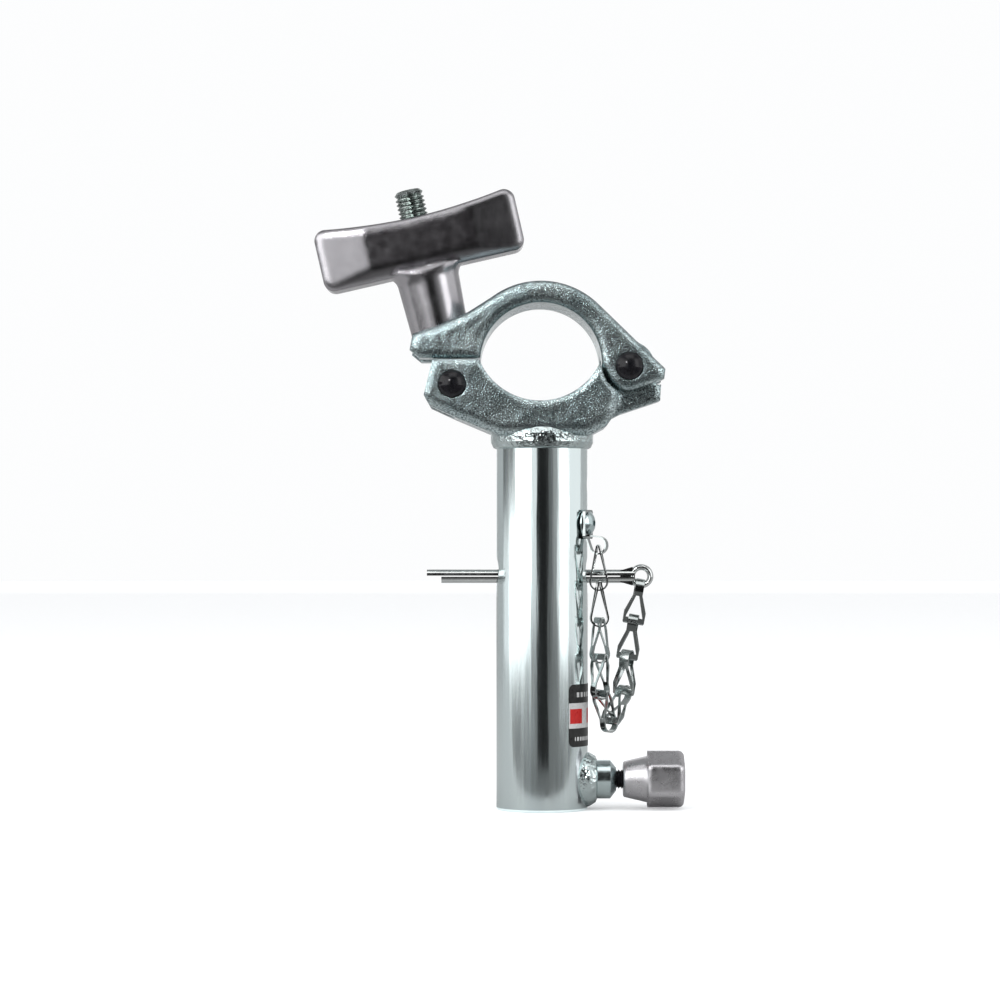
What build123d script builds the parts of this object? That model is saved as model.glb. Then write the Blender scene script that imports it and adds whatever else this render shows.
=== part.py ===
from build123d import *
import os
from math import asin, atan2, cos, degrees, radians, sin

os.makedirs("parts", exist_ok=True)

# Junior pipe clamp. X runs to the right along the jaws, Z is up, and the front faces -Y.
# The origin is the centre of the receiver tube's open lower end. Millimetres.

# receiver tube
tube_radius = 19.0
tube_length = 155.0
socket_radius = 14.4
socket_depth = 88.0
upper_bore_radius = 15.2
cross_hole_radius = 6.0
cross_hole_height = 99.3
vent_radius = 4.2
vent_height = 135.0

# jaws
jaw_depth = 40.0
upper_arc_centre = (-0.7, 184.6)
upper_arc_radius = 25.0
arch_outer_radius = 33.8
lower_arc_centre = (-1.0, 196.2)
lower_arc_radius = 27.0
lug_underside = 186.8
block_top = 186.2
hinge_x, hinge_z = 35.6, 183.4
pivot_x, pivot_z = -37.2, 176.0
tongue_half = 7.8
tongue_radius = 11.1
ear_slot_half = 8.2
ear_radius = 9.7
relief_radius = 11.3
fork_slot_half = 7.3
pin_radius = 4.0
pin_clearance = 0.15

# swing bolt, washer and wing nut, along the bolt's leaning axis
bolt_lean = 12.9
bolt_radius = 6.0
bolt_length = 83.5
bolt_thread_pitch = 1.75
eye_radius = 10.0
eye_half = 6.4
seat_height = 16.0
washer_base = 20.0
washer_thickness = 2.0
washer_radius = 12.0
nut_base = 22.05
bar_half_length = 42.5
bar_half_thickness = 10.5

# lock screw and knob
boss_height = 12.5
boss_radius = 8.1
boss_end = 30.8
screw_radius = 4.0
screw_tip = 14.6
knob_start = 33.75
knob_collar_end = 43.3
knob_end = 59.2
knob_corner_radius = 12.2

# safety pin
pin_height = 97.0
leg_radius = 2.6
leg_gap = 0.5
eye_x = 41.3
eye_hole_radius = 2.5

# rivet and chain
rivet_angle = -22.0
rivet_height = 119.0
rivet_head_radius = 4.75
strip = 0.6
link_pitch = 15.0
link_bulb = 3.85
band_seat = 3.55


def polar(centre, radius, angle):
    """A point on a circle, by its angle from +X in degrees."""
    return (centre[0] + radius * cos(radians(angle)), centre[1] + radius * sin(radians(angle)))


def save(part, name):
    part.label = name
    export_step(part, f"parts/{name}.step")


lean = radians(bolt_lean)
bolt_up = Vector(-sin(lean), 0, cos(lean))
bolt_across = Vector(cos(lean), 0, sin(lean))
pivot = Vector(pivot_x, 0, pivot_z)
hinge = (hinge_x, hinge_z)
bolt_axis = Axis(pivot, bolt_up)
# sketches on bolt_side are (across the bolt, along the bolt)
bolt_side = Plane(origin=pivot, x_dir=bolt_across, z_dir=(0, -1, 0))


def square_to_bolt(height):
    """A plane square to the bolt: sketches on it are (across the bolt, Y)."""
    return Plane(origin=pivot + bolt_up * height, x_dir=bolt_across, z_dir=bolt_up)


def thread_outline(radius, pitch, start, end):
    """The outline of a thread as (radius, distance) points. Its grooves are rings, not a helix."""
    points = []
    for turn in range(int((end - start) / pitch)):
        foot = start + turn * pitch
        groove = (radius - 0.6 * pitch, foot + pitch * 9 / 16)
        points += [(radius, foot), (radius, foot + pitch / 8), groove]
    return points + [(radius, end)]


def arc_between(centre, radius, start, end):
    """An arc of a circle from one angle to another."""
    middle = (start + end) / 2
    ThreePointArc(polar(centre, radius, start), polar(centre, radius, middle), polar(centre, radius, end))


# ---------------------------------------------------------------- receiver tube
rivet_dir = Vector(cos(radians(rivet_angle)), sin(radians(rivet_angle)), 0)
rivet_centre = Vector(0, 0, rivet_height)
rivet_axis = Axis(rivet_centre, rivet_dir)
rivet_shank_radius = 2.0

with BuildPart() as receiver_tube:
    with BuildSketch(Plane.XY):
        Circle(tube_radius)
    extrude(amount=tube_length)
    with BuildSketch(Plane.XY):
        Circle(upper_bore_radius)
    extrude(amount=tube_length, mode=Mode.SUBTRACT)
    with BuildSketch(Plane.XY):
        Circle(tube_radius)
        Circle(socket_radius, mode=Mode.SUBTRACT)
    extrude(amount=socket_depth)
    with BuildSketch(Plane.YZ):
        with Locations((0, cross_hole_height)):
            Circle(cross_hole_radius)
    extrude(amount=2 * tube_radius, both=True, mode=Mode.SUBTRACT)
    with BuildSketch(Plane.YZ):
        with Locations((0, vent_height)):
            Circle(vent_radius)
        with Locations((0, boss_height)):
            Circle(screw_radius + 0.3)
    extrude(amount=2 * tube_radius, mode=Mode.SUBTRACT)
    with BuildSketch(Plane(origin=rivet_centre, z_dir=rivet_dir)):
        Circle(rivet_shank_radius + 0.05)
    extrude(amount=2 * tube_radius, mode=Mode.SUBTRACT)
    open_end = receiver_tube.faces().sort_by(Axis.Z)[0]
    chamfer(open_end.edges(), 0.5)

save(receiver_tube.part, "receiver_tube")


# ---------------------------------------------------------------- lower jaw
with BuildPart() as lower_jaw:
    with BuildSketch(Plane.XZ):
        with BuildLine():
            left_lip = (-25.83, 185.6)
            right_lip = (23.4, 184.6)
            relief_top = polar(hinge, relief_radius, 195)
            Polyline((-18, tube_length), (-36, 162.6), (-46.4, 167.4), (-48.8, 171.5), (-45.2, block_top),
                     (-27, block_top), left_lip)
            lowest = (lower_arc_centre[0], lower_arc_centre[1] - lower_arc_radius)
            ThreePointArc(left_lip, lowest, right_lip)
            Line(right_lip, relief_top)
            arc_between(hinge, relief_radius, 195, 245)
            Polyline(polar(hinge, relief_radius, 245), (31.4, 169.8), (29.6, 163.6), (26.2, 158.8),
                     (19, tube_length), (-18, tube_length))
        make_face()
    extrude(amount=jaw_depth / 2, both=True)
    rim_faces = lower_jaw.faces().filter_by(Axis.Y)
    low_edges = rim_faces.edges().filter_by_position(Axis.Z, 150, 169)
    chamfer(low_edges, 3.0)

    # hinge tongue and its tail, between the upper jaw's ears
    with BuildSketch(Plane.XZ):
        with Locations(hinge):
            Circle(tongue_radius)
        with BuildLine():
            Polyline((22, 159), (22, 176.5), (27.5, 183.4), (46, 183.4), (47.2, 176.4), (49.2, 176.4),
                     (48.8, 169.8), (32.3, 164.3), (22, 159))
        make_face()
    extrude(amount=tongue_half, both=True)
    with BuildSketch(Plane.XZ):
        with Locations(hinge):
            Circle(pin_radius)
        with Locations((pivot_x, pivot_z)):
            Circle(pin_radius)
    extrude(amount=jaw_depth, both=True, mode=Mode.SUBTRACT)

    # fork slot, open to the left and below so that the bolt can swing out
    with BuildSketch(Plane.XZ):
        with Locations((pivot_x, pivot_z)):
            Circle(eye_radius + 1.3)
        with BuildLine():
            Polyline((-62, 190), (-30.5, 190), (-30.5, 171.5), (-37, 162), (-46, 150),
                     (-62, 150), (-62, 190))
        make_face()
    extrude(amount=fork_slot_half, both=True, mode=Mode.SUBTRACT)

save(lower_jaw.part, "lower_jaw")


# ---------------------------------------------------------------- upper jaw
arch_start, arch_end = 127, 48

with BuildPart() as upper_jaw:
    with BuildSketch(Plane.XZ):
        with BuildLine():
            lug_inner = (-25.6, lug_underside)
            arch_left = polar(upper_arc_centre, arch_outer_radius, arch_start)
            arch_right = polar(upper_arc_centre, arch_outer_radius, arch_end)
            ear_left = polar(hinge, ear_radius, 188)
            ear_bottom = polar(hinge, ear_radius, 279)
            inner_end = (24.25, 183.0)
            Polyline(lug_inner, (-50.6, lug_underside), (-54.6, 190), (-53.4, 196.6), (-43.9, 199.6),
                     (-30.5, 205.6), arch_left)
            arc_between(upper_arc_centre, arch_outer_radius, arch_start, arch_end)
            Polyline(arch_right, (50.4, 182.2), (49.9, 178.2), ear_bottom)
            arc_between(hinge, ear_radius, 279, 188)
            Line(ear_left, inner_end)
            highest = (upper_arc_centre[0], upper_arc_centre[1] + upper_arc_radius)
            ThreePointArc(inner_end, highest, lug_inner)
        make_face()
    extrude(amount=jaw_depth / 2, both=True)
    chamfer(upper_jaw.faces().filter_by(Axis.Y).edges(), 1.6)

    # slot between the ears for the tongue
    with BuildSketch(Plane.XZ):
        with Locations(hinge):
            Circle(tongue_radius + 0.6)
        with BuildLine():
            Polyline((28.5, 192.4), (28.5, 206), (60, 206), (60, 165), (20, 165), (20, hinge_z),
                     hinge, (28.5, 192.4))
        make_face()
    extrude(amount=ear_slot_half, both=True, mode=Mode.SUBTRACT)
    with BuildSketch(Plane.XZ):
        with Locations(hinge):
            Circle(pin_radius + pin_clearance)
    extrude(amount=jaw_depth, both=True, mode=Mode.SUBTRACT)

    # channel for the nut between the lug's side rims, open to the left
    channel_half = 14.0
    slot_half = bolt_radius + 0.8
    with BuildSketch(square_to_bolt(seat_height)):
        Circle(channel_half)
        with Locations((-20, 0)):
            Rectangle(40, 2 * channel_half)
    extrude(amount=50, mode=Mode.SUBTRACT)
    with BuildSketch(square_to_bolt(0)):
        Circle(slot_half)
        with Locations((-20, 0)):
            Rectangle(40, 2 * slot_half)
    extrude(amount=50, mode=Mode.SUBTRACT)
    # the floor falls away outside the nut's seat
    with BuildSketch(bolt_side):
        with BuildLine():
            Polyline((-8, seat_height + 0.2), (-34, seat_height + 0.2), (-34, -8), (-8, seat_height + 0.2))
        make_face()
    extrude(amount=channel_half, both=True, mode=Mode.SUBTRACT)

save(upper_jaw.part, "upper_jaw")


# ---------------------------------------------------------------- domed pins
def dome(face, radius, height, side):
    """The middle and top of a dome's arc over a face, from its rim to its crown."""
    ball = (radius**2 + height**2) / (2 * height)
    half_angle = atan2(radius, ball - height) / 2
    middle = (face + side * (height - ball + ball * cos(half_angle)), ball * sin(half_angle))
    return middle, (face + side * height, 0)


def domed_pin(x, z, name):
    """A pin through both faces of the jaws, with a domed head in front and a peened end behind."""
    head_radius, head_height = 5.85, 3.3
    tail_radius, tail_height = 5.2, 1.8
    face = jaw_depth / 2 + 0.1
    head_middle, head_crown = dome(-face, head_radius, head_height, -1)
    tail_middle, tail_crown = dome(face, tail_radius, tail_height, 1)
    with BuildPart() as pin:
        with BuildSketch(Plane(origin=(x, 0, z), x_dir=(0, 1, 0), z_dir=(1, 0, 0))):
            with BuildLine():
                Polyline((-face, head_radius), (-face, pin_radius), (face, pin_radius), (face, tail_radius))
                ThreePointArc((face, tail_radius), tail_middle, tail_crown)
                Line(tail_crown, head_crown)
                ThreePointArc(head_crown, head_middle, (-face, head_radius))
            make_face()
        revolve(axis=Axis((x, 0, z), (0, 1, 0)))
    save(pin.part, name)


domed_pin(hinge_x, hinge_z, "hinge_pin")
domed_pin(pivot_x, pivot_z, "swing_bolt_pin")


# ---------------------------------------------------------------- weld between tube and jaw
with BuildPart() as saddle_weld:
    with BuildSketch(Plane.XZ):
        with BuildLine():
            Polyline((tube_radius, 149.8), (20.3, 150.4), (21.3, 152.6), (21.4, 156), (20.2, 158.4),
                     (17.5, 158.4), (17.5, tube_length), (tube_radius, tube_length), (tube_radius, 149.8))
        make_face()
    revolve(axis=Axis.Z)
    add(lower_jaw.part, mode=Mode.SUBTRACT)

save(saddle_weld.part, "saddle_weld")


# ---------------------------------------------------------------- swing bolt
with BuildPart() as swing_bolt:
    with BuildSketch(Plane.XZ):
        with Locations((pivot_x, pivot_z)):
            Circle(eye_radius)
    extrude(amount=eye_half, both=True)
    with BuildSketch(bolt_side):
        with BuildLine():
            outline = thread_outline(bolt_radius, bolt_thread_pitch, 24, bolt_length - 1.2)
            Polyline((0, 0), (bolt_radius, 0), *outline, (bolt_radius - 1.1, bolt_length),
                     (0, bolt_length), (0, 0))
        make_face()
    revolve(axis=bolt_axis)
    with BuildSketch(Plane.XZ):
        with Locations((pivot_x, pivot_z)):
            Circle(pin_radius + pin_clearance)
    extrude(amount=jaw_depth, both=True, mode=Mode.SUBTRACT)

save(swing_bolt.part, "swing_bolt")

with BuildPart() as nut_washer:
    with BuildSketch(square_to_bolt(washer_base)):
        Circle(washer_radius)
        Circle(bolt_radius + 0.3, mode=Mode.SUBTRACT)
    extrude(amount=washer_thickness)
    chamfer(nut_washer.edges().filter_by(GeomType.CIRCLE).group_by(SortBy.RADIUS)[-1], 0.4)

save(nut_washer.part, "nut_washer")


# ---------------------------------------------------------------- wing nut
bar_bottom, bar_top_end, bar_top_middle = 48.9, 75.6, 71.4
neck_top = bar_bottom + 1

with BuildPart() as handle_bar:
    with BuildSketch(bolt_side) as bar_face:
        with BuildLine():
            Line((-bar_half_length, bar_top_end), (-bar_half_length, bar_bottom))
            Line((-bar_half_length, bar_bottom), (bar_half_length, bar_bottom))
            Line((bar_half_length, bar_bottom), (bar_half_length, bar_top_end))
            ThreePointArc((bar_half_length, bar_top_end), (0, bar_top_middle),
                          (-bar_half_length, bar_top_end))
        make_face()
        fillet(bar_face.vertices(), 4.5)
    extrude(amount=bar_half_thickness, both=True)
    # in plan the bar is full at the middle and thinner at its ends
    with BuildSketch(square_to_bolt(bar_bottom - 5)):
        with BuildLine():
            flat, end = 22.0, 7.8
            Polyline((-bar_half_length - 1, -end), (-flat, -bar_half_thickness),
                     (flat, -bar_half_thickness),
                     (bar_half_length + 1, -end), (bar_half_length + 1, end), (flat, bar_half_thickness),
                     (-flat, bar_half_thickness), (-bar_half_length - 1, end), (-bar_half_length - 1, -end))
        make_face()
    extrude(amount=40, mode=Mode.INTERSECT)
    rims = handle_bar.edges().filter_by(lambda edge: abs(edge.center().Y) > 6.5)
    rims = rims.filter_by(lambda edge: abs(edge.tangent_at(0.5).Y) < 0.9)
    outline_rims = rims.filter_by(lambda edge: abs(edge.tangent_at(0.5).dot(bolt_up)) < 0.5
                                  or edge.center().X > pivot_x)
    chamfer(outline_rims, 1.4)
    # a broad bevel runs along the underside, in front and behind
    with BuildSketch(Plane(origin=pivot, x_dir=(0, 1, 0), z_dir=bolt_across)):
        with BuildLine():
            Polyline((-7.4, bar_bottom), (-10.8, bar_bottom + 5.5), (-10.8, 80), (10.8, 80),
                     (10.8, bar_bottom + 5.5), (7.4, bar_bottom), (-7.4, bar_bottom))
        make_face()
    extrude(amount=60, both=True, mode=Mode.INTERSECT)

with BuildPart() as wing_nut:
    with BuildSketch(bolt_side):
        with BuildLine():
            flare_start = (13.0, neck_top - 5.5)
            Polyline((0, nut_base), (11.9, nut_base), flare_start)
            ThreePointArc(flare_start, (14.1, neck_top - 2.1), (17.2, neck_top))
            Polyline((17.2, neck_top), (0, neck_top), (0, nut_base))
        make_face()
    revolve(axis=bolt_axis)
    with BuildSketch(square_to_bolt(nut_base)):
        Rectangle(50, 2 * 13.1)
    extrude(amount=30, mode=Mode.INTERSECT)
    add(handle_bar.part)
    with BuildSketch(square_to_bolt(nut_base)):
        Circle(bolt_radius + pin_clearance)
    extrude(amount=60, mode=Mode.SUBTRACT)

save(wing_nut.part, "wing_nut")


# ---------------------------------------------------------------- lock boss, screw and knob
boss_axis = Axis((0, 0, boss_height), (1, 0, 0))
boss_side = Plane(origin=(0, 0, boss_height), x_dir=(1, 0, 0), z_dir=(0, -1, 0))

with BuildPart() as lock_boss:
    with BuildSketch(boss_side):
        with BuildLine():
            Polyline((15, 0), (15, boss_radius), (28.3, boss_radius), (boss_end, 4.9),
                     (boss_end, 0), (15, 0))
        make_face()
    revolve(axis=boss_axis)
    with BuildSketch(Plane.XY):
        Circle(tube_radius)
    extrude(amount=40, mode=Mode.SUBTRACT)
    with BuildSketch(Plane.YZ):
        with Locations((0, boss_height)):
            Circle(screw_radius + 0.1)
    extrude(amount=40, mode=Mode.SUBTRACT)

save(lock_boss.part, "lock_boss")

with BuildPart() as boss_weld:
    with BuildSketch(boss_side):
        with BuildLine():
            Polyline((10, boss_radius), (22.9, boss_radius), (22.3, 9.6), (19.6, 11.3), (10, 11.3),
                     (10, boss_radius))
        make_face()
    revolve(axis=boss_axis)
    with BuildSketch(Plane.XY):
        Circle(tube_radius)
    extrude(amount=40, mode=Mode.SUBTRACT)

save(boss_weld.part, "boss_weld")

screw_end = 50.0
with BuildPart() as lock_screw:
    with BuildSketch(boss_side):
        with BuildLine():
            outline = [(x, r) for r, x in thread_outline(screw_radius, 1.25, screw_tip + 1, screw_end)]
            Polyline((screw_tip, 0), (screw_tip, screw_radius - 0.9), *outline, (screw_end, 0),
                     (screw_tip, 0))
        make_face()
    revolve(axis=boss_axis)

save(lock_screw.part, "lock_screw")

with BuildPart() as lock_knob:
    with BuildSketch(boss_side):
        with BuildLine():
            Polyline((knob_start, 0), (knob_start, 7.0), (knob_start + 0.5, 7.5), (knob_collar_end, 9.6),
                     (knob_collar_end + 0.5, 9.6), (knob_collar_end + 0.5, 0), (knob_start, 0))
        make_face()
    revolve(axis=boss_axis)
    with BuildSketch(Plane.YZ.offset(knob_collar_end + 0.5)) as hexagon:
        with Locations((0, boss_height)):
            RegularPolygon(knob_corner_radius, 6, rotation=90)
        fillet(hexagon.vertices(), 2.0)
    extrude(amount=knob_end - knob_collar_end - 0.5)
    fillet(lock_knob.faces().sort_by(Axis.X)[-1].edges(), 2.6)
    with BuildSketch(Plane.YZ.offset(knob_start)):
        with Locations((0, boss_height)):
            Circle(screw_radius + 0.1)
    extrude(amount=screw_end + 0.2 - knob_start, mode=Mode.SUBTRACT)

save(lock_knob.part, "lock_knob")


# ---------------------------------------------------------------- safety pin
def half_disc(side):
    """Half of a leg's round section: side is 1 for the upper leg and -1 for the lower one."""
    with Locations((0, pin_height + side * leg_gap / 2)):
        Circle(leg_radius)
    with Locations((0, pin_height + side * leg_gap / 2 - side * leg_radius)):
        Rectangle(3 * leg_radius, 2 * leg_radius, mode=Mode.SUBTRACT)


upper_leg_tip, lower_leg_tip = -47.9, -41.9
leg_end = eye_x - eye_hole_radius - 0.3

with BuildPart() as safety_pin:
    for tip, side in ((upper_leg_tip, 1), (lower_leg_tip, -1)):
        with BuildSketch(Plane.YZ.offset(tip)):
            half_disc(side)
        extrude(amount=leg_end - tip)
    # the eye is a ring of oval section
    with BuildSketch(Plane.XY.offset(pin_height)):
        with Locations((eye_x + eye_hole_radius + leg_radius / 2, 0)):
            Ellipse(leg_radius / 2, 2.2)
    revolve(axis=Axis((eye_x, 0, pin_height), (0, 1, 0)))
    # the shoulder where the wire opens into the eye
    with BuildSketch(Plane.XZ):
        with BuildLine():
            Polyline((32.5, pin_height - 2.4), (37.6, pin_height - 3.9), (leg_end, pin_height),
                     (37.6, pin_height + 3.9), (32.5, pin_height + 2.4), (32.5, pin_height - 2.4))
        make_face()
    extrude(amount=1.9, both=True)
    with BuildSketch(Plane.XZ):
        with Locations((eye_x, pin_height)):
            Circle(eye_hole_radius)
    extrude(amount=5, both=True, mode=Mode.SUBTRACT)

save(safety_pin.part, "safety_pin")


# ---------------------------------------------------------------- rivet, washer and chain
rivet_side = Plane(origin=rivet_centre, x_dir=rivet_dir, z_dir=rivet_dir.cross(Vector(0, 0, 1)))
washer_start = tube_radius + 0.05
link_plate_start = washer_start + 0.65
head_start = link_plate_start + 2 * strip + 0.05

with BuildPart() as chain_rivet:
    with BuildSketch(rivet_side):
        with BuildLine():
            Polyline((12.2, 0), (12.2, 2.4), (13.2, 3.2), (upper_bore_radius - 0.5, 3.2),
                     (upper_bore_radius - 0.3, rivet_shank_radius), (head_start, rivet_shank_radius),
                     (head_start, rivet_head_radius), (head_start + 0.4, rivet_head_radius))
            ThreePointArc((head_start + 0.4, rivet_head_radius), (head_start + 1.6, 3.2),
                          (head_start + 2.2, 1.2))
            Polyline((head_start + 2.2, 1.2), (head_start + 0.9, 1.2), (head_start + 0.9, 0), (12.2, 0))
        make_face()
    revolve(axis=rivet_axis)

save(chain_rivet.part, "chain_rivet")

with BuildPart() as chain_washer:
    with BuildSketch(Plane(origin=rivet_centre + rivet_dir * washer_start, z_dir=rivet_dir)):
        Circle(5.6)
        Circle(rivet_shank_radius + 0.1, mode=Mode.SUBTRACT)
    extrude(amount=0.6)

save(chain_washer.part, "chain_washer")


def pear(top_radius, bulb_radius, length):
    """A pear outline: a small circle at the origin and a large one below it, joined by tangents."""
    slope = degrees(asin((bulb_radius - top_radius) / length))
    bulb = (0, -length)
    with BuildSketch() as outline:
        with BuildLine():
            Line(polar((0, 0), top_radius, slope), polar(bulb, bulb_radius, slope))
            arc_between(bulb, bulb_radius, slope, slope - (180 + 2 * slope))
            Line(polar(bulb, bulb_radius, 180 - slope), polar((0, 0), top_radius, 180 - slope))
            arc_between((0, 0), top_radius, 180 - slope, slope)
        make_face()
    return outline.sketch


def chain_link(start, up, across, name, bulb, neck_half):
    """A folded sheet link. Its pinched bands stand just past start, and its fold is one pitch back from it.

    up points from the fold to the bands, and across is the way that the pear profile widens.
    """
    tip_radius, band_top, band_foot, band_half = 0.75, 3.9, 1.25, 4.5
    side = Plane(origin=start + up * (band_top - tip_radius), x_dir=across, z_dir=across.cross(up))
    face = Plane(origin=start, x_dir=up.cross(across), z_dir=across)
    length = link_pitch - bulb + strip / 2 + band_top - tip_radius
    with BuildPart() as link:
        with BuildSketch(side):
            add(pear(tip_radius, bulb, length))
            add(pear(tip_radius - strip, bulb - strip, length), mode=Mode.SUBTRACT)
        extrude(amount=band_half, both=True)
        with BuildSketch(face) as outline:
            with BuildLine():
                Polyline((-band_half, 4.2), (band_half, 4.2), (band_half, -1.2), (neck_half, -8.2),
                         (neck_half, -17), (-neck_half, -17), (-neck_half, -8.2), (-band_half, -1.2),
                         (-band_half, 4.2))
            make_face()
            fillet(outline.vertices().group_by(Axis.Y)[-1], 1.2)
            with BuildLine():
                Polyline((-3.6, band_foot), (3.6, band_foot), (0.8, -8.0), (-0.8, -8.0), (-3.6, band_foot))
            make_face(mode=Mode.SUBTRACT)
        extrude(amount=6, both=True, mode=Mode.INTERSECT)
    save(link.part, name)
    return link.part


def downward(lean, back):
    """A direction down, leaning to the right and to the back by angles in degrees."""
    return Vector(sin(radians(lean)), sin(radians(back)) * cos(radians(lean)),
                  -cos(radians(lean)) * cos(radians(back)))


# the first link is pinched flat under the rivet and opens into a loop below it
loop_top = rivet_centre + rivet_dir * (link_plate_start + 0.75) + Vector(0, 0, -5.5)
loop_centre = rivet_centre + rivet_dir * 25.0 + Vector(0, 0, -9.15)
loop_up = (loop_top - loop_centre).normalized()
with BuildPart() as first_link:
    with BuildSketch(Plane(origin=loop_top, x_dir=loop_up.cross(rivet_side.z_dir), z_dir=rivet_side.z_dir)):
        loop_length = (loop_top - loop_centre).length
        add(pear(0.75, link_bulb, loop_length))
        add(pear(0.75 - strip, link_bulb - strip, loop_length), mode=Mode.SUBTRACT)
    extrude(amount=1.6, both=True)
    with BuildSketch(Plane(origin=rivet_centre + rivet_dir * link_plate_start,
                           x_dir=rivet_side.z_dir, z_dir=rivet_dir)):
        with Locations((0, 0.5)):
            RectangleRounded(9, 12, 1.2)
        Circle(rivet_shank_radius + 0.1, mode=Mode.SUBTRACT)
    extrude(amount=2 * strip)

save(first_link.part, "chain_link_01")

# centres of the loops that the links hang in: down from the rivet, and down from the safety pin's eye
loop_centres = [loop_centre]
for lean_right, lean_back in ((0.8, 0.3), (0.8, 0.3), (0.5, 0.3), (0.5, 0.3)):
    loop_centres.append(loop_centres[-1] + downward(lean_right, lean_back) * link_pitch)
pin_eye = Vector(eye_x, 0, pin_height)
last_reach = link_pitch + band_seat + 1.3
eye_centres = [pin_eye + downward(-9.9, 0) * last_reach]
for lean_right, lean_back in ((-9.9, 0), (-5.0, 7.0)):
    eye_centres.append(eye_centres[-1] + downward(lean_right, lean_back) * link_pitch)

# the two strands meet in the lowest loop, one pitch from the last centre on each side
left_foot, right_foot = loop_centres[-1], eye_centres[-1]
across_feet = right_foot - left_foot
sag = (link_pitch**2 - (across_feet.length / 2) ** 2) ** 0.5
square_down = Vector(0, 0, -1) - across_feet * (-across_feet.Z / across_feet.length**2)
lowest_centre = (left_foot + right_foot) * 0.5 + square_down.normalized() * sag

# each link runs on from the loop before it, and its flat turns steadily from strand to strand
stations = loop_centres + [lowest_centre] + eye_centres[::-1] + [pin_eye]
for number, twist in enumerate((-6, 4, 18, 34, 42, 52, 68, 82, 90), start=2):
    upper, lower = stations[number - 2], stations[number - 1]
    along = (lower - upper).normalized()
    flat = Vector(cos(radians(twist)), sin(radians(twist)), 0)
    across = (flat - along * flat.dot(along)).normalized()
    # the last link's loop is larger, to go round the eye
    loop_radius = 4.65 if number == 10 else link_bulb
    strip_half = {5: 1.75, 6: 1.5, 7: 1.6, 10: 1.8}.get(number, 2.0)
    name = f"chain_link_{number:02d}"
    chain_link(upper + along * band_seat, along * -1, across, name, loop_radius, strip_half)


# ---------------------------------------------------------------- label
label_foot, label_height, label_start, label_sweep = 26.7, 25.8, -55.0, 88.0
with BuildPart() as label:
    with BuildSketch(Plane.XY.offset(label_foot)):
        Circle(tube_radius + 0.2)
        Circle(tube_radius, mode=Mode.SUBTRACT)
        with BuildLine():
            Polyline((0, 0), polar((0, 0), 40, label_start),
                     polar((0, 0), 40, label_start + label_sweep / 2),
                     polar((0, 0), 40, label_start + label_sweep), (0, 0))
        make_face(mode=Mode.INTERSECT)
    extrude(amount=label_height)
    corners = label.edges().filter_by(GeomType.LINE).filter_by(lambda edge: edge.length < 0.3)
    fillet(corners, 2.5)

save(label.part, "label")
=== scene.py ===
import math

import bpy
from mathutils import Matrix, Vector

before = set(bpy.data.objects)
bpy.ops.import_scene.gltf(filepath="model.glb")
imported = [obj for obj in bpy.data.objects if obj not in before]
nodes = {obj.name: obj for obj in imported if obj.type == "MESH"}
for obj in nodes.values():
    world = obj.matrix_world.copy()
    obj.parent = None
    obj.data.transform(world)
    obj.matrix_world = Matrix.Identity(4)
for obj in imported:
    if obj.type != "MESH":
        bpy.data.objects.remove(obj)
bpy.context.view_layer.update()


# ------------------------------------------------------------------ materials
def new_material(name):
    """A material with an empty tree, its shader and its output."""
    mat = bpy.data.materials.new(name)
    mat.use_nodes = True
    tree = mat.node_tree
    tree.nodes.clear()
    out = tree.nodes.new("ShaderNodeOutputMaterial")
    shader = tree.nodes.new("ShaderNodeBsdfPrincipled")
    tree.links.new(shader.outputs["BSDF"], out.inputs["Surface"])
    return mat, tree, shader


def noise(tree, scale, detail=4.0, roughness=0.6, stretch=None):
    """A noise over the object's own coordinates, in features per metre, stretched if asked."""
    coords = tree.nodes.new("ShaderNodeTexCoord")
    mapping = tree.nodes.new("ShaderNodeMapping")
    mapping.inputs["Scale"].default_value = stretch or (1, 1, 1)
    tree.links.new(coords.outputs["Object"], mapping.inputs["Vector"])
    node = tree.nodes.new("ShaderNodeTexNoise")
    node.inputs["Scale"].default_value = scale
    node.inputs["Detail"].default_value = detail
    node.inputs["Roughness"].default_value = roughness
    tree.links.new(mapping.outputs["Vector"], node.inputs["Vector"])
    return node.outputs["Fac"]


def ramp(tree, source, stops):
    """Colours or greys along a value: stops are (position, colour)."""
    node = tree.nodes.new("ShaderNodeValToRGB")
    elements = node.color_ramp.elements
    while len(elements) < len(stops):
        elements.new(0.5)
    for element, (position, colour) in zip(elements, stops):
        element.position = position
        element.color = (*colour, 1) if len(colour) == 3 else colour
    tree.links.new(source, node.inputs["Fac"])
    return node.outputs["Color"]


def grey(value):
    return (value, value, value)


def bump(tree, layers, rounding=0.0):
    """Bumps laid over each other: layers are (height source, strength, distance in metres).

    Rounding softens the look of the edges under them, by a radius in metres.
    """
    normal = None
    if rounding:
        bevel = tree.nodes.new("ShaderNodeBevel")
        bevel.samples = 12
        bevel.inputs["Radius"].default_value = rounding
        normal = bevel.outputs["Normal"]
    for source, strength, distance in layers:
        node = tree.nodes.new("ShaderNodeBump")
        node.inputs["Strength"].default_value = strength
        node.inputs["Distance"].default_value = distance
        tree.links.new(source, node.inputs["Height"])
        if normal:
            tree.links.new(normal, node.inputs["Normal"])
        normal = node.outputs["Normal"]
    return normal


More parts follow.
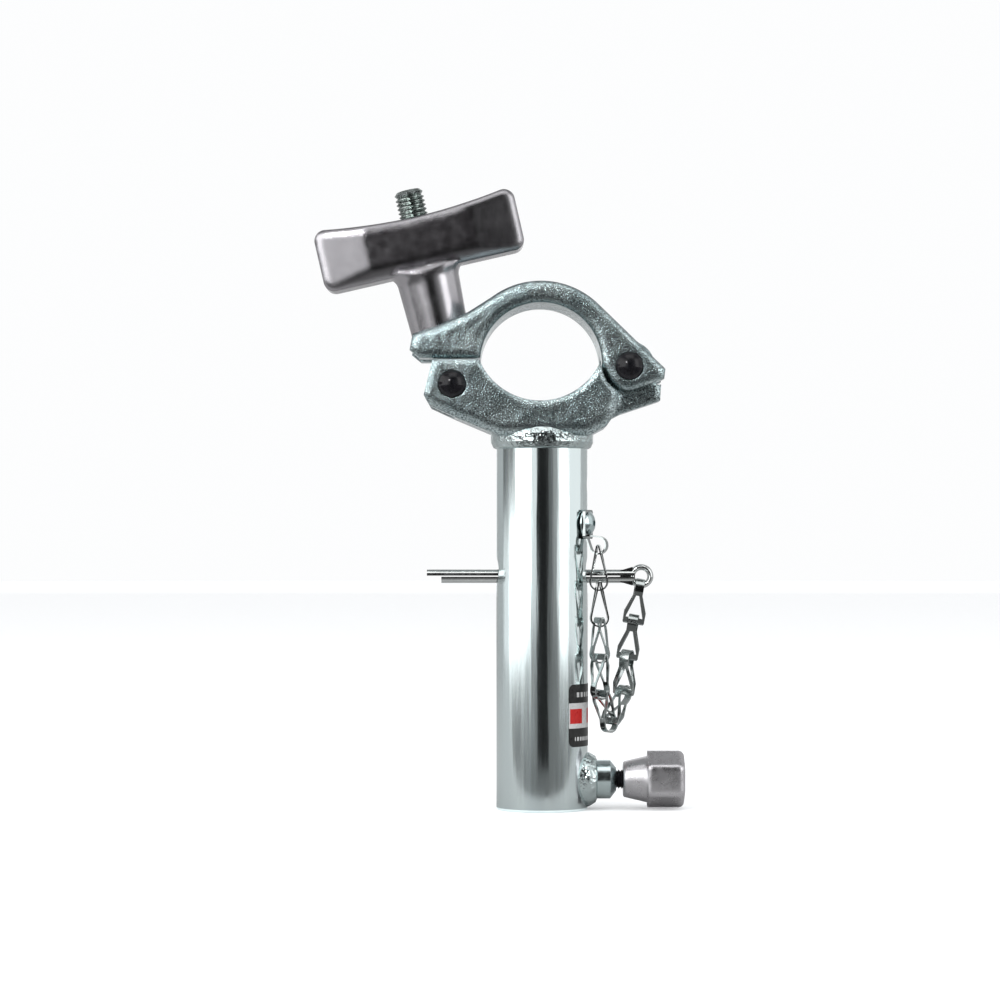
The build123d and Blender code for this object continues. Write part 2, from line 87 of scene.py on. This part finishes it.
def mix(tree, first, second, blend="MIX", factor=1.0):
    """Blends two colours. The factor may be a number or a socket, and a colour may be a tuple."""
    node = tree.nodes.new("ShaderNodeMix")
    node.data_type = "RGBA"
    node.blend_type = blend
    for value, socket in ((factor, node.inputs[0]), (first, node.inputs[6]), (second, node.inputs[7])):
        if isinstance(value, tuple):
            socket.default_value = (*value, 1)
        elif isinstance(value, float):
            socket.default_value = value
        else:
            tree.links.new(value, socket)
    return node.outputs[2]


def calculate(tree, operation, *values):
    """One step of arithmetic on sockets or numbers."""
    node = tree.nodes.new("ShaderNodeMath")
    node.operation = operation
    for value, socket in zip(values, node.inputs):
        if isinstance(value, (int, float)):
            socket.default_value = value
        else:
            tree.links.new(value, socket)
    return node.outputs[0]


def between(tree, value, low, high):
    """1 where the value lies between two limits, and 0 elsewhere."""
    return calculate(tree, "MULTIPLY", calculate(tree, "GREATER_THAN", value, low),
                     calculate(tree, "LESS_THAN", value, high))


def plated(name, light, dark, rough, grain, grain_depth, waves=0.0, wave_scale=190,
           stretch=None, speckle=None, rounding=0.0):
    """Bright metal: a tint that drifts from dark to light, and roughness in patches between two values.

    Grain, wave_scale and speckle are features per metre; grain_depth and waves are depths in metres.
    """
    mat, tree, shader = new_material(name)
    shader.inputs["Metallic"].default_value = 1.0
    drift = noise(tree, 60, detail=3, stretch=stretch)
    colour = ramp(tree, drift, [(0.3, dark), (0.7, light)])
    if speckle:
        specks = noise(tree, speckle, detail=2, roughness=0.6)
        dots = ramp(tree, specks, [(0.36, grey(0.20)), (0.58, grey(1.0))])
        colour = mix(tree, dots, colour, "MULTIPLY")
    tree.links.new(colour, shader.inputs["Base Color"])
    patches = noise(tree, 260, detail=5, roughness=0.7, stretch=stretch)
    smooth, coarse = rough
    roughness = ramp(tree, patches, [(0.35, grey(smooth)), (0.7, grey(coarse))])
    tree.links.new(roughness, shader.inputs["Roughness"])
    layers = [(noise(tree, grain, detail=3, roughness=0.6, stretch=stretch), 0.6, grain_depth)]
    if waves:
        swell = noise(tree, wave_scale, detail=2, roughness=0.5, stretch=stretch)
        layers.insert(0, (swell, 0.7, waves))
    tree.links.new(bump(tree, layers, rounding), shader.inputs["Normal"])
    return mat


def dark_gloss(name):
    """Black oxide under a glossy film of oil."""
    mat, tree, shader = new_material(name)
    shader.inputs["Metallic"].default_value = 0.1
    shader.inputs["Coat Weight"].default_value = 0.12
    shader.inputs["Specular IOR Level"].default_value = 0.2
    shader.inputs["Coat Roughness"].default_value = 0.06
    tint = noise(tree, 500, detail=5)
    tree.links.new(ramp(tree, tint, [(0.3, (0.003, 0.003, 0.004)), (0.75, (0.012, 0.012, 0.014))]),
                   shader.inputs["Base Color"])
    wear = noise(tree, 900, detail=6, roughness=0.75)
    tree.links.new(ramp(tree, wear, [(0.3, grey(0.10)), (0.7, grey(0.20))]), shader.inputs["Roughness"])
    tree.links.new(bump(tree, [(noise(tree, 1400), 0.4, 0.00002)]), shader.inputs["Normal"])
    return mat


def printed_film(name):
    """A black film round the tube, with grey bands, a red panel and rows of plain marks."""
    mat, tree, shader = new_material(name)
    coords = tree.nodes.new("ShaderNodeTexCoord")
    split = tree.nodes.new("ShaderNodeSeparateXYZ")
    tree.links.new(coords.outputs["Object"], split.inputs[0])
    x, y, z = split.outputs
    angle = calculate(tree, "ARCTAN2", y, x)
    worn = noise(tree, 700, detail=6, roughness=0.8)
    colour = ramp(tree, worn, [(0.3, grey(0.006)), (0.75, grey(0.022))])
    silver = ramp(tree, worn, [(0.3, grey(0.30)), (0.75, grey(0.52))])
    red = ramp(tree, worn, [(0.3, (0.28, 0.006, 0.006)), (0.75, (0.44, 0.014, 0.012))])
    # heights are in metres above the tube's lower end, and angles in radians round the tube
    panel = between(tree, z, 0.0344, 0.0448)
    colour = mix(tree, colour, silver, factor=panel)
    red_band = between(tree, z, 0.0363, 0.0424)
    for start, end in ((-0.94, -0.55), (-0.30, 0.10)):
        block = calculate(tree, "MULTIPLY", red_band, between(tree, angle, start, end))
        colour = mix(tree, colour, red, factor=block)
    # rows of short plain bars, above and below the panel
    for low, high, pitch in ((0.0472, 0.0492, 0.14), (0.0292, 0.0308, 0.10)):
        row = between(tree, z, low, high)
        dashes = calculate(tree, "LESS_THAN", calculate(tree, "PINGPONG", angle, pitch / 2), pitch * 0.3)
        inside = between(tree, angle, -0.80, 0.42)
        marks = calculate(tree, "MULTIPLY", calculate(tree, "MULTIPLY", row, dashes), inside)
        colour = mix(tree, colour, silver, factor=marks)
    tree.links.new(colour, shader.inputs["Base Color"])
    shader.inputs["Specular IOR Level"].default_value = 0.25
    tree.links.new(ramp(tree, worn, [(0.3, grey(0.22)), (0.7, grey(0.42))]), shader.inputs["Roughness"])
    tree.links.new(bump(tree, [(worn, 0.3, 0.00002)]), shader.inputs["Normal"])
    return mat


tube_zinc = plated("tube_zinc", (0.78, 0.86, 0.86), (0.68, 0.77, 0.78), (0.09, 0.18), 2600, 0.000008,
                   waves=0.00007, wave_scale=700, stretch=(1, 1, 0.04))
forged_zinc = plated("forged_zinc", (0.71, 0.83, 0.84), (0.46, 0.58, 0.60), (0.14, 0.24), 1700, 0.00028,
                     waves=0.0011, wave_scale=75, speckle=1500, rounding=0.0045)
weld_zinc = plated("weld_zinc", (0.66, 0.74, 0.74), (0.46, 0.54, 0.54), (0.10, 0.20), 1500, 0.00006,
                   waves=0.0015, wave_scale=400)
bolt_zinc = plated("bolt_zinc", (0.55, 0.60, 0.58), (0.30, 0.36, 0.34), (0.20, 0.34), 1800, 0.00003,
                   speckle=1200)
turned_zinc = plated("turned_zinc", (0.66, 0.75, 0.75), (0.50, 0.60, 0.61), (0.12, 0.24), 1800, 0.00002)
cast_aluminium = plated("cast_aluminium", (0.46, 0.45, 0.47), (0.37, 0.36, 0.38), (0.16, 0.24),
                        1500, 0.00003, waves=0.00025, wave_scale=45, rounding=0.0045)
satin_aluminium = plated("satin_aluminium", (0.66, 0.65, 0.67), (0.54, 0.53, 0.55), (0.24, 0.36),
                         1500, 0.00004, waves=0.0004, wave_scale=90, rounding=0.0028)
bright_wire = plated("bright_wire", (0.74, 0.76, 0.75), (0.58, 0.60, 0.60), (0.10, 0.22), 2200, 0.00002)
bright_strip = plated("bright_strip", (0.56, 0.60, 0.59), (0.30, 0.33, 0.33), (0.08, 0.18), 2200, 0.00004)
black_oxide = dark_gloss("black_oxide")
label_film = printed_film("label_film")


def dress(material, *names):
    """Gives CAD nodes one material."""
    for name in names:
        mesh = nodes[name].data
        mesh.materials.clear()
        mesh.materials.append(material)


dress(tube_zinc, "receiver_tube")
dress(forged_zinc, "lower_jaw", "upper_jaw")
dress(weld_zinc, "saddle_weld", "boss_weld")
dress(bolt_zinc, "swing_bolt", "nut_washer")
dress(cast_aluminium, "wing_nut")
dress(satin_aluminium, "lock_knob")
dress(black_oxide, "hinge_pin", "swing_bolt_pin", "lock_screw")
dress(label_film, "label")
dress(turned_zinc, "lock_boss", "chain_rivet", "chain_washer")
dress(bright_wire, "safety_pin")
dress(bright_strip, *[f"chain_link_{number:02d}" for number in range(1, 11)])


# ------------------------------------------------------------------ stage, light and camera
bpy.ops.mesh.primitive_circle_add(vertices=128, radius=9, fill_type="NGON", location=(0, 0, 0))
floor = bpy.context.object
floor.name = "floor"
floor_mat, floor_tree, floor_shader = new_material("pale_floor")
floor_shader.inputs["Base Color"].default_value = (0.78, 0.79, 0.80, 1)
floor_shader.inputs["Roughness"].default_value = 0.9
floor_shader.inputs["Emission Color"].default_value = (1, 1, 1, 1)
floor_shader.inputs["Emission Strength"].default_value = 0.22
floor.data.materials.append(floor_mat)


def softbox(name, azimuth, height, distance, width, tall, power):
    """An area light that faces the clamp's middle. Azimuth 0 is in front, and grows to the right."""
    data = bpy.data.lights.new(name, "AREA")
    data.shape = "RECTANGLE"
    data.size = width
    data.size_y = tall
    data.energy = power
    lamp = bpy.data.objects.new(name, data)
    angle = math.radians(azimuth)
    lamp.location = (distance * math.sin(angle), -distance * math.cos(angle), height)
    toward = Vector((0, 0, 0.12)) - lamp.location
    lamp.rotation_euler = toward.to_track_quat("-Z", "Y").to_euler()
    lamp.visible_camera = False
    bpy.context.scene.collection.objects.link(lamp)


softbox("left_box", -60, 0.5, 1.5, 2.0, 2.2, 21)
softbox("right_box", 56, 0.5, 1.6, 0.7, 2.2, 7)
softbox("top_box", 10, 2.0, 0.7, 1.6, 1.2, 8)
softbox("glint", -20, 0.75, 1.2, 0.16, 0.16, 3.2)


def flag(name, shade, corners):
    """A matt card that only the reflections see, as a flag just out of shot does in a studio."""
    mesh = bpy.data.meshes.new(name)
    mesh.from_pydata(corners, [], [(0, 1, 2, 3)])
    card = bpy.data.objects.new(name, mesh)
    bpy.context.scene.collection.objects.link(card)
    mat, tree, shader = new_material(name)
    shader.inputs["Base Color"].default_value = (shade, shade, shade, 1)
    shader.inputs["Roughness"].default_value = 1.0
    shader.inputs["Specular IOR Level"].default_value = 0.0
    mesh.materials.append(mat)
    card.visible_camera = False
    card.visible_diffuse = False
    card.visible_shadow = False


def upright(start, end, top, bottom=0.0):
    """The corners of a card that stands upright between two points."""
    return [(*start, bottom), (*end, bottom), (*end, top), (*start, top)]


def level(near_left, near_right, near, far_right, far_left, far, height):
    """The corners of a level card, from its nearer edge to its farther one."""
    return [(near_left, near, height), (near_right, near, height),
            (far_right, far, height), (far_left, far, height)]


# the front cards darken the tube's middle, and pale towards the right
black = 0.012
front_top = 2.6
flag("front_flag", black, upright((-0.60, -2.5), (0.66, -2.5), front_top))
flag("front_grey_flag", 0.13, upright((0.66, -2.5), (1.15, -2.4), front_top))
flag("front_pale_flag", 0.32, upright((1.15, -2.4), (1.75, -2.2), front_top))
flag("left_flag", 0.11, upright((-1.19, -0.39), (-1.10, 0.59), 0.42, bottom=0.135))
# the floor cards lie just above the floor
flag("floor_flag", 0.12, level(-1.6, 1.6, -0.08, 1.6, -1.6, -2.5, 0.001))
flag("floor_dark_flag", black, level(-0.05, 0.06, -0.22, 0.66, -0.60, -2.5, 0.002))
flag("floor_side_flag", 0.40, level(-1.6, 1.6, 6.0, 1.6, -1.6, -0.08, 0.001))
# the rear cards draw the grey edges
for side, label in ((-1, "left"), (1, "right")):
    flag(f"{label}_rear_flag", 0.34, upright((side * 0.40, 1.05), (side * 1.15, 0.50), 1.6))
flag("ceiling_flag", 0.30, level(-3, 3, -3, 3, -3, 3, 2.7))

world = bpy.data.worlds.new("studio")
world.use_nodes = True
world.node_tree.nodes["Background"].inputs["Color"].default_value = (0.98, 0.985, 0.99, 1)
bpy.context.scene.world = world

camera_data = bpy.data.cameras.new("camera")
camera_data.sensor_width = 36.0
camera_data.lens = 103.7
camera_data.shift_y = 0.05
camera_data.clip_end = 30
camera = bpy.data.objects.new("camera", camera_data)
camera.location = (-0.0175, -1.2, 0.1079)
camera.rotation_euler = (math.radians(90), 0, 0)
bpy.context.scene.collection.objects.link(camera)
bpy.context.scene.camera = camera

bpy.context.scene.view_settings.view_transform = "Standard"
